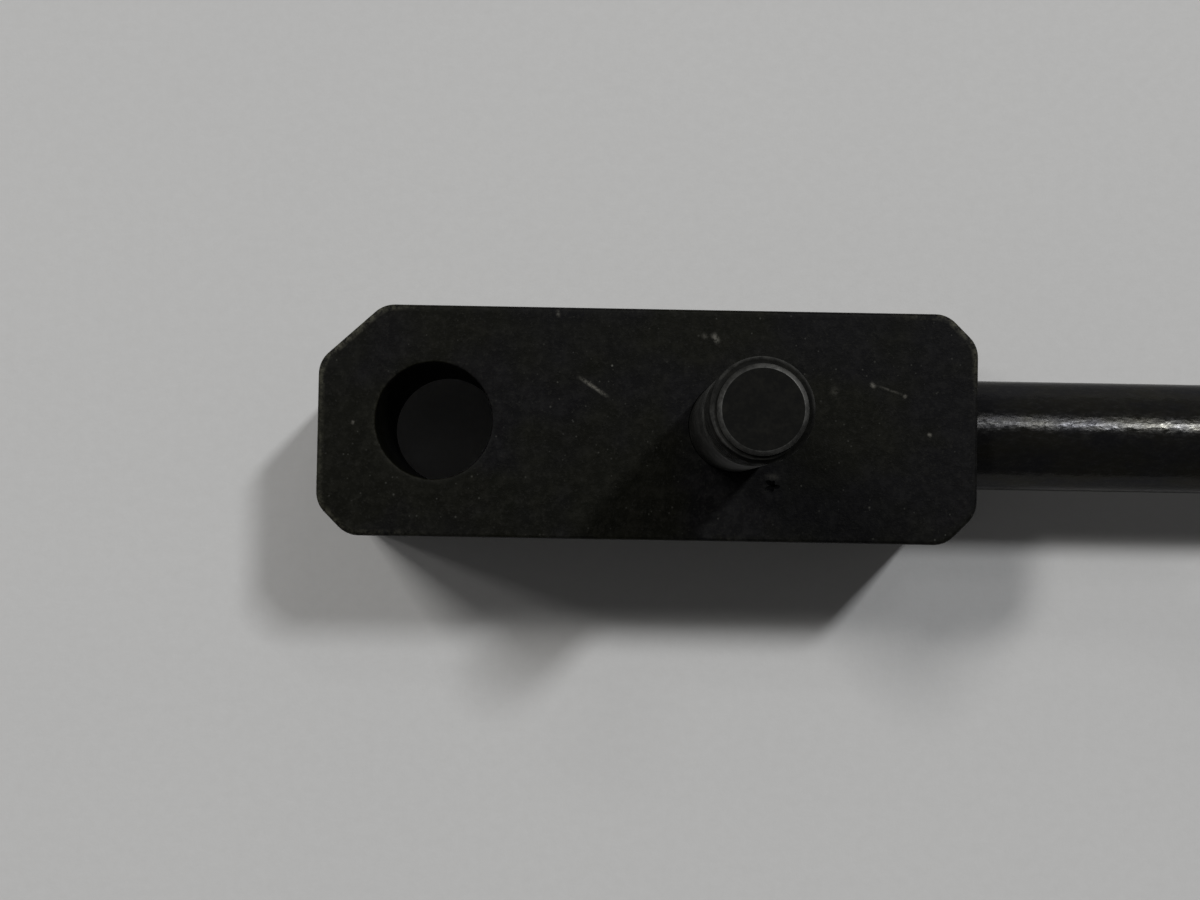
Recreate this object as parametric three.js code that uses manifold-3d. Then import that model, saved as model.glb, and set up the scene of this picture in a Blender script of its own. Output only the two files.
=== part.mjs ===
// Gas strut stay: a gas spring with an eye block at each end.
//
// The strut lies along X with its axis AXIS_HEIGHT above the surface it rests on. The rod end, with the
// long eye block and its upright stud, is at -X, and the tube and its plain eye block are at +X.
// Lengths are millimetres. Along the strut, positions are counted from the rod end's free face.

import * as THREE from "three";
import { mergeVertices } from "three/addons/utils/BufferGeometryUtils.js";
import Module from "manifold-3d";

// ---------------------------------------------------------------- driving dimensions

const SIDES = 32; // sides of every turned surface; a multiple of four, so a flat faces each way

// End blocks, both cut from one square bar.
const BAR = 20;
const EDGE_BREAK = 0.3;
const ROD_BLOCK_LENGTH = 57;
const TUBE_BLOCK_LENGTH = 40;
const EYE_DIAMETER = 10.1;
const EYE_INSET = 10; // eye centre to the block's free end
const SLANT_LONG = 5.5; // the large corner cut at the eye end, along the block
const SLANT_WIDE = 5; // and across it
const CORNER_CUT = 2.7; // the other three corners, cut at 45 degrees
const CORNER_SOFTENING = 2.6; // radius where a cut meets a side
const DRILL_OVER = 0.5; // a blind hole is this much deeper than what it holds
const CUT_PAST = 1; // a cutting solid stands this far out of the face it cuts

// Stud standing on the rod-end block.
const STUD_FROM_EYE = 26;
const STUD_DIAMETER = 8;
const STUD_HEIGHT = 25; // above the block's face
const STUD_DEPTH = 12; // down into the block
const STUD_THREAD = 6.4; // threaded length at the tip
const STUD_UNDERCUT = 1.4; // relief groove below the thread
const STUD_ROOT_DIAMETER = 6.6;
const STUD_FOOT_CHAMFER = 0.6;
const STUD_SHOULDER = 0.4; // slope at each end of the relief groove
const STUD_PILOT_DIAMETER = 6.8; // short plain tip ahead of the thread
const STUD_PILOT_LENGTH = 0.7;
const STUD_PILOT_CHAMFER = 0.3;
const STUD_THREAD_CHAMFER = 0.3;

// Piston rod.
const ROD_DIAMETER = 10;
const STROKE = 100;
const ROD_SHOWN_COMPRESSED = 7; // rod left outside the tube when the strut is fully pushed in
const SPIGOT_DIAMETER = 8; // threaded end that screws into the block
const SPIGOT_LENGTH = 14;
const THREAD_CHAMFER = 0.8; // on the ends of both 8 mm threads
const ROD_CHAMFER = 0.3;
const JOURNAL_DIAMETER = 6; // reduced inner end that carries the piston
const RIVET_DIAMETER = 8.8;
const RIVET_LENGTH = 1.5;
const RIVET_DOME = 0.9; // how much narrower the riveted head is at its end

// Pressure tube.
const TUBE_DIAMETER = 22;
const TUBE_WALL = 1.5;
const TUBE_LENGTH = 169;
const LIP_LENGTH = 1.5; // rolled-in rim at each end
const LIP_BORE = 15.2;
const LIP_ROUND = 1.6; // rounding of the rim's outer edge
const BEAD_DEPTH = 0.8; // rolled groove that locates the seal pack and the end plug
const BEAD_LENGTH = 2.4;
const BEAD_FROM_FRONT = 22.4;
const BEAD_FROM_BACK = 14.6;

// Fits.
const RUNNING = 0.05; // radial clearance of a sliding or turning fit
const LOOSE = 0.1; // gap between stacked faces and round fixed pieces

// Screw-on rear end.
const THREAD_DIAMETER = 8;
const NUT_ACROSS_FLATS = 13;
const NUT_THICKNESS = 4;
const NUT_CHAMFER = 0.7;
const REAR_STANDOFF = 7; // tube end to tube-end block

// ---------------------------------------------------------------- derived places

const AXIS_HEIGHT = TUBE_DIAMETER / 2;
const ROD_RADIUS = ROD_DIAMETER / 2;
const BORE_RADIUS = TUBE_DIAMETER / 2 - TUBE_WALL;
const PACK_RADIUS = BORE_RADIUS - LOOSE; // pieces held still in the bore
const JOURNAL_BORE = JOURNAL_DIAMETER / 2 + RUNNING;
const ROD_BORE = ROD_RADIUS + RUNNING;

const EYE_X = EYE_INSET;
const STUD_X = EYE_X + STUD_FROM_EYE;
const TUBE_X = ROD_BLOCK_LENGTH + ROD_SHOWN_COMPRESSED + STROKE;
const TUBE_END_X = TUBE_X + TUBE_LENGTH;
const TUBE_BLOCK_X = TUBE_END_X + REAR_STANDOFF;
const TOTAL_LENGTH = TUBE_BLOCK_X + TUBE_BLOCK_LENGTH;

// The seal pack, front to back, as lengths counted from the tube's front rim.
const WIPER_NOSE = 1.2; // lip of the wiper that shows in the tube's mouth
const WIPER_AT = LIP_LENGTH + LOOSE;
const WIPER_LENGTH = 2.6;
const WIPER_SHOULDER_RADIUS = 7.1; // fits inside the rolled-in rim
const WIPER_LIP_WALL = 0.9;
const WIPER_LIP_SLOPE = 0.8;
const WIPER_CLEAR_RADIUS = 5.7; // behind the lip the wiper stands clear of the rod
const GUIDE_AT = WIPER_AT + WIPER_LENGTH + LOOSE;
const GUIDE_LENGTH = 10;
const BUSH_RADIUS = 6;
const SUPPORT_AT = GUIDE_AT + GUIDE_LENGTH + LOOSE;
const WASHER_LENGTH = 1;
const WASHER_BORE_RADIUS = 5.3;
const SEAL_AT = SUPPORT_AT + WASHER_LENGTH + LOOSE;
const SEAL_LENGTH = 5;
const SEAL_OUTER_LIP = 8.1; // radii of the cup's channel, whose lips are pressed out by the gas
const SEAL_CHANNEL_RADIUS = 7.4;
const SEAL_INNER_LIP = 6.3;
const SEAL_CHANNEL_DEPTH = 2.4;
const BACKING_AT = SEAL_AT + SEAL_LENGTH + LOOSE;

// The piston pack, with the strut fully extended.
const REBOUND_AT = BACKING_AT + WASHER_LENGTH + 3 * LOOSE;
const REBOUND_LENGTH = 5;
const REBOUND_RADIUS = 8.3;
const SHOULDER_AT = REBOUND_AT + REBOUND_LENGTH + LOOSE;
const THROTTLE_AT = SHOULDER_AT + LOOSE;
const THROTTLE_LENGTH = 1;
const THROTTLE_RADIUS = 8.8;
const PISTON_AT = THROTTLE_AT + THROTTLE_LENGTH + LOOSE;
const PISTON_LENGTH = 8;
const PISTON_CHAMFER = 0.4;
const PISTON_GROOVE_AT = 2.4; // from the piston's own front face
const PISTON_GROOVE_LENGTH = 3.2;
const PISTON_GROOVE_RADIUS = 8.2;
const PISTON_WASHER_AT = PISTON_AT + PISTON_LENGTH + LOOSE;
const PISTON_WASHER_LENGTH = 1.5;
const PISTON_WASHER_RADIUS = 7.5;
const RIVET_AT = PISTON_WASHER_AT + PISTON_WASHER_LENGTH + LOOSE;

// The end plug, closed in by the rear bead and the rear rim.
const PLUG_AT = TUBE_LENGTH - BEAD_FROM_BACK + LOOSE;
const PLUG_LENGTH = TUBE_LENGTH - LIP_LENGTH - LOOSE - PLUG_AT;
const PLUG_STUD_LENGTH = 21; // thread standing out behind the tube
const PLUG_TOTAL = PLUG_LENGTH + LIP_LENGTH + LOOSE + PLUG_STUD_LENGTH;
const FILL_PASSAGE = 1.2;
const BALL_DIAMETER = 3;
const BALL_SEAT_SLOPE = 0.4;
const FILL_SCREW_DIAMETER = 4;
const FILL_SCREW_LENGTH = 6;
const FILL_SCREW_SUNK = 0.5; // below the end of the thread
const FILL_SCREW_CHAMFER = 0.3;
const SOCKET_CORNER_RADIUS = 1.15;
const SOCKET_DEPTH = 2;
const FILL_SCREW_AT = PLUG_TOTAL - FILL_SCREW_LENGTH - FILL_SCREW_SUNK;
const BALL_AT = FILL_SCREW_AT - BALL_DIAMETER / 2 - LOOSE;

// O-rings, both of one size, and the grooves that hold them.
const O_RING_SECTION = 1.5;
const O_GROOVE_LENGTH = 2.1;
const O_GROOVE_RADIUS = 7.8;
const GUIDE_GROOVE_AT = 3.9; // from the guide's front face
const PLUG_GROOVE_AT = 4.2; // from the plug's front face

// ---------------------------------------------------------------- materials

function steel(color, roughness, metalness) {
  return new THREE.MeshStandardMaterial({ color, roughness, metalness });
}

const makeMaterial = {
  blackOxide: () => steel(0x191918, 0.5, 0.6),
  nitrided: () => steel(0x141416, 0.22, 0.85),
  blackPaint: () => steel(0x0e0e0f, 0.35, 0.0),
  plainSteel: () => steel(0x8b8c8e, 0.35, 1.0),
  zinc: () => steel(0xa6a9ad, 0.4, 0.9),
  bronze: () => steel(0x9b7440, 0.4, 0.9),
  aluminium: () => steel(0xb9bbbe, 0.4, 0.9),
  rubber: () => steel(0x121212, 0.8, 0.0),
  plastic: () => steel(0xd9d6cc, 0.6, 0.0),
};

// ---------------------------------------------------------------- solid helpers

const wasm = await Module();
wasm.setup();

function solidOf(geometry) {
  const bare = geometry.clone();
  bare.deleteAttribute("normal");
  bare.deleteAttribute("uv");
  const merged = mergeVertices(bare, 1e-4);
  const vertProperties = new Float32Array(merged.attributes.position.array);
  const triVerts = new Uint32Array(merged.index.array);
  return new wasm.Manifold(new wasm.Mesh({ numProp: 3, vertProperties, triVerts }));
}

function geometryOf(solid) {
  const mesh = solid.getMesh();
  const geometry = new THREE.BufferGeometry();
  geometry.setAttribute("position", new THREE.BufferAttribute(new Float32Array(mesh.vertProperties), 3));
  geometry.setIndex(new THREE.BufferAttribute(new Uint32Array(mesh.triVerts), 1));
  geometry.computeVertexNormals();
  return geometry;
}

// The radius of a polygon's corners when its flats are r from the axis: holes and the tube use it.
function flats(r) {
  return r / Math.cos(Math.PI / SIDES);
}

// A solid turned about the Z axis from [height, radius] pairs, listed outwards, up the outside and back
// down the inside. Half a side of turn puts flats, not corners, at the bottom and the sides.
function turnedUp(profile) {
  const points = profile.map(([height, radius]) => new THREE.Vector2(radius, height));
  const geometry = new THREE.LatheGeometry(points, SIDES, Math.PI / SIDES);
  geometry.rotateX(Math.PI / 2);
  return geometry;
}

// The same about the X axis, from [distance along X, radius] pairs.
function turnedAlong(profile) {
  const geometry = turnedUp(profile);
  geometry.rotateY(Math.PI / 2);
  return geometry;
}

// Profiles. A rod is solid to the axis, a sleeve is open through.
function rodProfile(points) {
  const first = points[0];
  const last = points[points.length - 1];
  return [[first[0], 0], ...points, [last[0], 0]];
}

function sleeveProfile(outside, inside) {
  return [...outside, ...inside.reverse(), outside[0]];
}

function plainSleeve(length, boreRadius, outerRadius) {
  const outside = [[0, outerRadius], [length, outerRadius]];
  const inside = [[0, flats(boreRadius)], [length, flats(boreRadius)]];
  return turnedAlong(sleeveProfile(outside, inside));
}

// A cylinder with both rims chamfered, as [distance, radius] pairs from start to end.
function chamferedRun(start, end, radius, chamfer) {
  return [
    [start, radius - chamfer],
    [start + chamfer, radius],
    [end - chamfer, radius],
    [end, radius - chamfer],
  ];
}

function arc(centreX, centreY, radius, fromAngle, toAngle, steps) {
  const points = [];
  for (let i = 0; i <= steps; i += 1) {
    const angle = fromAngle + ((toAngle - fromAngle) * i) / steps;
    points.push(new THREE.Vector2(centreX + radius * Math.cos(angle), centreY + radius * Math.sin(angle)));
  }
  return points;
}

// ---------------------------------------------------------------- end blocks

// The corners of a block seen from above, with its eye end at the origin and its body towards +X.
function blockCorners(length) {
  const half = BAR / 2;
  return [
    new THREE.Vector2(0, half - SLANT_WIDE),
    new THREE.Vector2(0, CORNER_CUT - half),
    new THREE.Vector2(CORNER_CUT, -half),
    new THREE.Vector2(length - CORNER_CUT, -half),
    new THREE.Vector2(length, CORNER_CUT - half),
    new THREE.Vector2(length, half - CORNER_CUT),
    new THREE.Vector2(length - CORNER_CUT, half),
    new THREE.Vector2(SLANT_LONG, half),
  ];
}

// The same outline with each corner replaced by a short curve.
function softened(corners, radius, steps) {
  const outline = [];
  corners.forEach((corner, i) => {
    const before = corners.at(i - 1).clone().sub(corner).normalize();
    const after = corners[(i + 1) % corners.length].clone().sub(corner).normalize();
    const turn = Math.PI - Math.acos(before.dot(after));
    const reach = radius * Math.tan(turn / 2);
    const start = corner.clone().addScaledVector(before, reach);
    const end = corner.clone().addScaledVector(after, reach);
    outline.push(...new THREE.QuadraticBezierCurve(start, corner, end).getPoints(steps));
  });
  return outline;
}

function eyeOutline() {
  const firstCorner = Math.PI / SIDES;
  const points = arc(EYE_X, 0, flats(EYE_DIAMETER / 2), firstCorner, firstCorner + 2 * Math.PI, SIDES);
  points.pop();
  return new THREE.Path(points);
}

// A length of square bar with its eye, its edges broken, standing on z = 0.
function eyeBlock(length) {
  const shape = new THREE.Shape(softened(blockCorners(length), CORNER_SOFTENING, 3));
  shape.holes.push(eyeOutline());
  const geometry = new THREE.ExtrudeGeometry(shape, {
    depth: BAR - 2 * EDGE_BREAK,
    bevelThickness: EDGE_BREAK,
    bevelSize: EDGE_BREAK,
    bevelOffset: -EDGE_BREAK,
    bevelSegments: 1,
  });
  geometry.translate(0, 0, EDGE_BREAK);
  return geometry;
}

// A straight hole for a pin of this radius, as a profile from start to end.
function holeProfile(start, end, pinRadius) {
  const radius = flats(pinRadius + LOOSE);
  return rodProfile([[start, radius], [end, radius]]);
}

// The blind hole in a block's strut end, along the strut's axis.
function spigotHole(length, depth) {
  const hole = turnedAlong(holeProfile(-depth - DRILL_OVER, CUT_PAST, SPIGOT_DIAMETER / 2));
  hole.translate(length, 0, BAR / 2);
  return solidOf(hole);
}

function rodEndBlock() {
  const studHole = turnedUp(
    holeProfile(BAR - STUD_DEPTH - DRILL_OVER, BAR + CUT_PAST, STUD_DIAMETER / 2),
  );
  studHole.translate(STUD_X, 0, 0);
  const block = solidOf(eyeBlock(ROD_BLOCK_LENGTH));
  const holes = solidOf(studHole).add(spigotHole(ROD_BLOCK_LENGTH, SPIGOT_LENGTH));
  return geometryOf(block.subtract(holes));
}

function tubeEndBlock() {
  const depth = PLUG_STUD_LENGTH - REAR_STANDOFF;
  const block = solidOf(eyeBlock(TUBE_BLOCK_LENGTH)).subtract(spigotHole(TUBE_BLOCK_LENGTH, depth));
  const geometry = geometryOf(block);
  geometry.rotateZ(Math.PI);
  return geometry;
}

// ---------------------------------------------------------------- stud

// The stud from the bottom of its hole: shank, relief groove, thread, plain chamfered tip.
function linkStud() {
  const radius = STUD_DIAMETER / 2;
  const root = STUD_ROOT_DIAMETER / 2;
  const pilot = STUD_PILOT_DIAMETER / 2;
  const top = STUD_DEPTH + STUD_HEIGHT;
  const threadStart = top - STUD_THREAD;
  const groove = threadStart - STUD_UNDERCUT;
  const threadEnd = top - STUD_PILOT_LENGTH;
  return turnedUp(
    rodProfile([
      [0, radius - STUD_FOOT_CHAMFER],
      [STUD_FOOT_CHAMFER, radius],
      [groove, radius],
      [groove + STUD_SHOULDER, root],
      [threadStart - STUD_SHOULDER, root],
      [threadStart, radius],
      [threadEnd - STUD_THREAD_CHAMFER, radius],
      [threadEnd, radius - STUD_THREAD_CHAMFER],
      [threadEnd, pilot],
      [top - STUD_PILOT_CHAMFER, pilot],
      [top, pilot - STUD_PILOT_CHAMFER],
    ]),
  );
}

// ---------------------------------------------------------------- rod and piston pack

// The rod from the end of its threaded spigot to the head riveted over the piston washer.
function pistonRod() {
  const shoulder = SPIGOT_LENGTH + RUNNING;
  const insideTube = shoulder + TUBE_X - ROD_BLOCK_LENGTH;
  const pistonShoulder = insideTube + SHOULDER_AT;
  const rivet = insideTube + RIVET_AT;
  const spigot = SPIGOT_DIAMETER / 2;
  return turnedAlong(
    rodProfile([
      [0, spigot - THREAD_CHAMFER],
      [THREAD_CHAMFER, spigot],
      [shoulder, spigot],
      ...chamferedRun(shoulder, pistonShoulder, ROD_RADIUS, ROD_CHAMFER),
      [pistonShoulder, JOURNAL_DIAMETER / 2],
      [rivet, JOURNAL_DIAMETER / 2],
      [rivet, RIVET_DIAMETER / 2],
      [rivet + RIVET_LENGTH, RIVET_DIAMETER / 2 - RIVET_DOME],
    ]),
  );
}

function pistonBody() {
  const outer = PACK_RADIUS - LOOSE;
  const grooveEnd = PISTON_GROOVE_AT + PISTON_GROOVE_LENGTH;
  const outside = [
    [0, outer - PISTON_CHAMFER],
    [PISTON_CHAMFER, outer],
    [PISTON_GROOVE_AT, outer],
    [PISTON_GROOVE_AT, PISTON_GROOVE_RADIUS],
    [grooveEnd, PISTON_GROOVE_RADIUS],
    [grooveEnd, outer],
    [PISTON_LENGTH - PISTON_CHAMFER, outer],
    [PISTON_LENGTH, outer - PISTON_CHAMFER],
  ];
  return turnedAlong(sleeveProfile(outside, boreRun(JOURNAL_BORE, PISTON_LENGTH)));
}

function boreRun(radius, length) {
  return [[0, flats(radius)], [length, flats(radius)]];
}

// ---------------------------------------------------------------- seal pack

// A guide or plug's outside, with the groove that holds its O-ring.
function groovedRun(length, grooveAt) {
  const grooveEnd = grooveAt + O_GROOVE_LENGTH;
  return [
    [0, PACK_RADIUS],
    [grooveAt, PACK_RADIUS],
    [grooveAt, O_GROOVE_RADIUS],
    [grooveEnd, O_GROOVE_RADIUS],
    [grooveEnd, PACK_RADIUS],
    [length, PACK_RADIUS],
  ];
}

function rodGuide() {
  const outside = groovedRun(GUIDE_LENGTH, GUIDE_GROOVE_AT);
  return turnedAlong(sleeveProfile(outside, boreRun(BUSH_RADIUS + LOOSE, GUIDE_LENGTH)));
}

function dustWiper() {
  const lipEnd = WIPER_NOSE / 3;
  const outside = [
    [-WIPER_NOSE, ROD_RADIUS + WIPER_LIP_WALL],
    [-lipEnd, WIPER_SHOULDER_RADIUS],
    [0, WIPER_SHOULDER_RADIUS],
    [0, PACK_RADIUS],
    [WIPER_LENGTH, PACK_RADIUS],
  ];
  const inside = [
    [-WIPER_NOSE, flats(ROD_BORE)],
    [lipEnd, flats(ROD_BORE)],
    [lipEnd + WIPER_LIP_SLOPE, flats(WIPER_CLEAR_RADIUS)],
    [WIPER_LENGTH, flats(WIPER_CLEAR_RADIUS)],
  ];
  return turnedAlong(sleeveProfile(outside, inside));
}

// The rod seal: a rubber cup whose lips open towards the gas.
function rodSeal() {
  const outside = [
    [0, PACK_RADIUS],
    [SEAL_LENGTH, PACK_RADIUS],
    [SEAL_LENGTH, SEAL_OUTER_LIP],
    [SEAL_LENGTH - SEAL_CHANNEL_DEPTH, SEAL_CHANNEL_RADIUS],
    [SEAL_LENGTH, SEAL_INNER_LIP],
  ];
  return turnedAlong(sleeveProfile(outside, boreRun(ROD_BORE, SEAL_LENGTH)));
}

function oRing() {
  const section = [];
  const corners = 8;
  const centre = BORE_RADIUS - RUNNING - O_RING_SECTION / 2;
  for (let i = 0; i <= corners; i += 1) {
    const angle = (2 * Math.PI * (i % corners)) / corners;
    section.push([
      (O_RING_SECTION / 2) * Math.sin(angle),
      centre + (O_RING_SECTION / 2) * Math.cos(angle),
    ]);
  }
  return turnedAlong(section);
}

// ---------------------------------------------------------------- tube and rear end

// A rolled groove, seen on the outside as a channel and on the inside as a ridge.
function bead(start, radius) {
  const slope = BEAD_LENGTH / 3;
  return [
    [start, flats(radius)],
    [start + slope, flats(radius - BEAD_DEPTH)],
    [start + 2 * slope, flats(radius - BEAD_DEPTH)],
    [start + BEAD_LENGTH, flats(radius)],
  ];
}

function pressureTube() {
  const outer = TUBE_DIAMETER / 2;
  const lip = flats(LIP_BORE / 2);
  const rearBead = TUBE_LENGTH - BEAD_FROM_BACK - BEAD_LENGTH;
  const turnIn = LIP_ROUND * (1 - Math.SQRT1_2);
  const outside = [
    [0, lip],
    [0, flats(outer - LIP_ROUND)],
    [turnIn, flats(outer - turnIn)],
    [LIP_ROUND, flats(outer)],
    ...bead(BEAD_FROM_FRONT, outer),
    ...bead(rearBead, outer),
    [TUBE_LENGTH - LIP_ROUND, flats(outer)],
    [TUBE_LENGTH - turnIn, flats(outer - turnIn)],
    [TUBE_LENGTH, flats(outer - LIP_ROUND)],
    [TUBE_LENGTH, lip],
  ];
  const inside = [
    [LIP_LENGTH, lip],
    [LIP_LENGTH, flats(BORE_RADIUS)],
    ...bead(BEAD_FROM_FRONT, BORE_RADIUS),
    ...bead(rearBead, BORE_RADIUS),
    [TUBE_LENGTH - LIP_LENGTH, flats(BORE_RADIUS)],
    [TUBE_LENGTH - LIP_LENGTH, lip],
  ];
  return turnedAlong(sleeveProfile(outside, inside));
}

// The end plug and its threaded stud are one turned piece. The filling passage runs through it, and
// widens to seat the ball and the screw that closes it.
function endPlug() {
  const thread = THREAD_DIAMETER / 2;
  const collar = LIP_BORE / 2 - LOOSE;
  const outside = [
    ...groovedRun(PLUG_LENGTH, PLUG_GROOVE_AT),
    [PLUG_LENGTH, collar],
    [PLUG_LENGTH + LIP_LENGTH + LOOSE, collar],
    [PLUG_LENGTH + LIP_LENGTH + LOOSE, thread],
    [PLUG_TOTAL - THREAD_CHAMFER, thread],
    [PLUG_TOTAL, thread - THREAD_CHAMFER],
  ];
  const seat = BALL_AT - BALL_DIAMETER / 2;
  const inside = [
    [0, flats(FILL_PASSAGE / 2)],
    [seat - BALL_SEAT_SLOPE, flats(FILL_PASSAGE / 2)],
    [BALL_AT - BALL_SEAT_SLOPE, flats(BALL_DIAMETER / 2 + LOOSE)],
    [FILL_SCREW_AT - LOOSE, flats(BALL_DIAMETER / 2 + LOOSE)],
    [FILL_SCREW_AT - LOOSE, flats(FILL_SCREW_DIAMETER / 2 + LOOSE)],
    [PLUG_TOTAL, flats(FILL_SCREW_DIAMETER / 2 + LOOSE)],
  ];
  return turnedAlong(sleeveProfile(outside, inside));
}

function fillingScrew() {
  const run = chamferedRun(0, FILL_SCREW_LENGTH, FILL_SCREW_DIAMETER / 2, FILL_SCREW_CHAMFER);
  const screw = turnedAlong(rodProfile(run));
  const socket = new THREE.CylinderGeometry(SOCKET_CORNER_RADIUS, SOCKET_CORNER_RADIUS, 2 * SOCKET_DEPTH, 6);
  socket.rotateZ(Math.PI / 2);
  socket.translate(FILL_SCREW_LENGTH, 0, 0);
  return geometryOf(solidOf(screw).subtract(solidOf(socket)));
}

function jamNut() {
  const cornerRadius = NUT_ACROSS_FLATS / 2 / Math.cos(Math.PI / 6);
  const prism = new THREE.CylinderGeometry(cornerRadius, cornerRadius, NUT_THICKNESS, 6);
  prism.rotateZ(Math.PI / 2);
  prism.translate(NUT_THICKNESS / 2, 0, 0);
  const run = chamferedRun(0, NUT_THICKNESS, cornerRadius + LOOSE, NUT_CHAMFER);
  const rounding = turnedAlong(rodProfile(run));
  const hole = turnedAlong(holeProfile(-CUT_PAST, NUT_THICKNESS + CUT_PAST, THREAD_DIAMETER / 2));
  return geometryOf(solidOf(prism).intersect(solidOf(rounding)).subtract(solidOf(hole)));
}

// ---------------------------------------------------------------- assembly

const strut = new THREE.Group();
strut.position.set(-TOTAL_LENGTH / 2, 0, AXIS_HEIGHT);

// One named piece, placed along the strut and, for the end blocks and the stud, below or above its axis.
function place(group, name, geometry, material, along, above = 0) {
  const mesh = new THREE.Mesh(geometry, makeMaterial[material]());
  mesh.name = name;
  mesh.position.set(along, 0, above);
  group.add(mesh);
}

const rodEnd = new THREE.Group();
place(rodEnd, "rod_end_block", rodEndBlock(), "blackOxide", 0, -BAR / 2);
place(rodEnd, "link_stud", linkStud(), "blackOxide", STUD_X, BAR / 2 - STUD_DEPTH);
place(rodEnd, "piston_rod", pistonRod(), "nitrided", ROD_BLOCK_LENGTH - SPIGOT_LENGTH);
strut.add(rodEnd);

const packWasher = () => plainSleeve(WASHER_LENGTH, WASHER_BORE_RADIUS, PACK_RADIUS);
const oRingInGroove = O_GROOVE_LENGTH / 2;
const fillingBall = new THREE.SphereGeometry(BALL_DIAMETER / 2, 16, 10);

const cylinder = new THREE.Group();
cylinder.position.x = TUBE_X;
place(cylinder, "pressure_tube", pressureTube(), "blackPaint", 0);
place(cylinder, "dust_wiper", dustWiper(), "rubber", WIPER_AT);
place(cylinder, "rod_guide", rodGuide(), "aluminium", GUIDE_AT);
place(cylinder, "guide_bush", plainSleeve(GUIDE_LENGTH, ROD_BORE, BUSH_RADIUS), "bronze", GUIDE_AT);
place(cylinder, "guide_o_ring", oRing(), "rubber", GUIDE_AT + GUIDE_GROOVE_AT + oRingInGroove);
place(cylinder, "seal_support_washer", packWasher(), "plainSteel", SUPPORT_AT);
place(cylinder, "rod_seal", rodSeal(), "rubber", SEAL_AT);
place(cylinder, "seal_backing_washer", packWasher(), "plainSteel", BACKING_AT);
place(cylinder, "end_plug", endPlug(), "zinc", PLUG_AT);
place(cylinder, "end_plug_o_ring", oRing(), "rubber", PLUG_AT + PLUG_GROOVE_AT + oRingInGroove);
place(cylinder, "filling_ball", fillingBall, "plainSteel", PLUG_AT + BALL_AT);
place(cylinder, "filling_screw", fillingScrew(), "blackOxide", PLUG_AT + FILL_SCREW_AT);
strut.add(cylinder);

const reboundRing = plainSleeve(REBOUND_LENGTH, ROD_BORE, REBOUND_RADIUS);
const throttlePlate = plainSleeve(THROTTLE_LENGTH, JOURNAL_BORE, THROTTLE_RADIUS);
const pistonWasher = plainSleeve(PISTON_WASHER_LENGTH, JOURNAL_BORE, PISTON_WASHER_RADIUS);
const pistonRing = plainSleeve(
  PISTON_GROOVE_LENGTH - 2 * RUNNING,
  PISTON_GROOVE_RADIUS + RUNNING,
  BORE_RADIUS - RUNNING,
);

const pistonPack = new THREE.Group();
pistonPack.position.x = TUBE_X;
place(pistonPack, "rebound_ring", reboundRing, "rubber", REBOUND_AT);
place(pistonPack, "throttle_plate", throttlePlate, "plainSteel", THROTTLE_AT);
place(pistonPack, "piston_body", pistonBody(), "zinc", PISTON_AT);
place(pistonPack, "piston_ring", pistonRing, "plastic", PISTON_AT + PISTON_GROOVE_AT + RUNNING);
place(pistonPack, "piston_washer", pistonWasher, "plainSteel", PISTON_WASHER_AT);
strut.add(pistonPack);

const rearEnd = new THREE.Group();
place(rearEnd, "jam_nut", jamNut(), "zinc", TUBE_BLOCK_X - NUT_THICKNESS - RUNNING);
place(rearEnd, "tube_end_block", tubeEndBlock(), "blackOxide", TOTAL_LENGTH, -BAR / 2);
strut.add(rearEnd);

export default strut;
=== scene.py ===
"""Gas strut stay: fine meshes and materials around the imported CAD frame.

The strut lies along X, rod end at -X, tube end at +X, on the floor z = 0. Lengths in the tables of sizes
are millimetres and are turned into metres where a mesh is made.
"""

import math

import bmesh
import bpy
from mathutils import Matrix, Vector


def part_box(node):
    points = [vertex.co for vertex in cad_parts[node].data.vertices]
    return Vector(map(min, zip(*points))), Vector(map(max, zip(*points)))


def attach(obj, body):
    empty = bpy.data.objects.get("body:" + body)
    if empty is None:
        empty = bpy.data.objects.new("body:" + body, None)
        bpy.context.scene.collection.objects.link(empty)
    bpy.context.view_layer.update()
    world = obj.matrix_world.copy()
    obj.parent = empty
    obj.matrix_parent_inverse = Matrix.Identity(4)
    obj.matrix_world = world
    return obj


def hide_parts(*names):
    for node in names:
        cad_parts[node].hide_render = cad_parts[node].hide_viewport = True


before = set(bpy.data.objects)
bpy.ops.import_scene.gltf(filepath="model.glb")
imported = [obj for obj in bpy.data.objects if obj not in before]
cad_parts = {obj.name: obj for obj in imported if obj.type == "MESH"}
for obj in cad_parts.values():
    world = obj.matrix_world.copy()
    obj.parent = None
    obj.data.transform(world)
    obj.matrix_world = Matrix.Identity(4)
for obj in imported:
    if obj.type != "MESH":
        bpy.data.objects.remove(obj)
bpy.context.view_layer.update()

MM = 0.001
SEGMENTS = 96  # sides of a turned piece
FINE_SEGMENTS = 128  # sides of the rod and the tube
SHARP_ANGLE = math.radians(32)  # faces that meet at a larger angle are shaded as a sharp edge


def clamp(value):
    """The value held between 0 and 1."""
    return min(max(value, 0), 1)


def fade(value, full, none):
    """1 up to the value full, falling evenly to 0 at the value none."""
    return clamp((none - value) / (none - full))


# ------------------------------------------------------------------ sizes read from the frame, in mm

def node_box(node):
    """A CAD node's corners in millimetres."""
    low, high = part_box(node)
    return low / MM, high / MM


def along_and_radius(node):
    """Where a node turned about the strut's axis starts and ends along X, and its largest radius."""
    low, high = node_box(node)
    return low.x, high.x, (high.y - low.y) / 2


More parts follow.
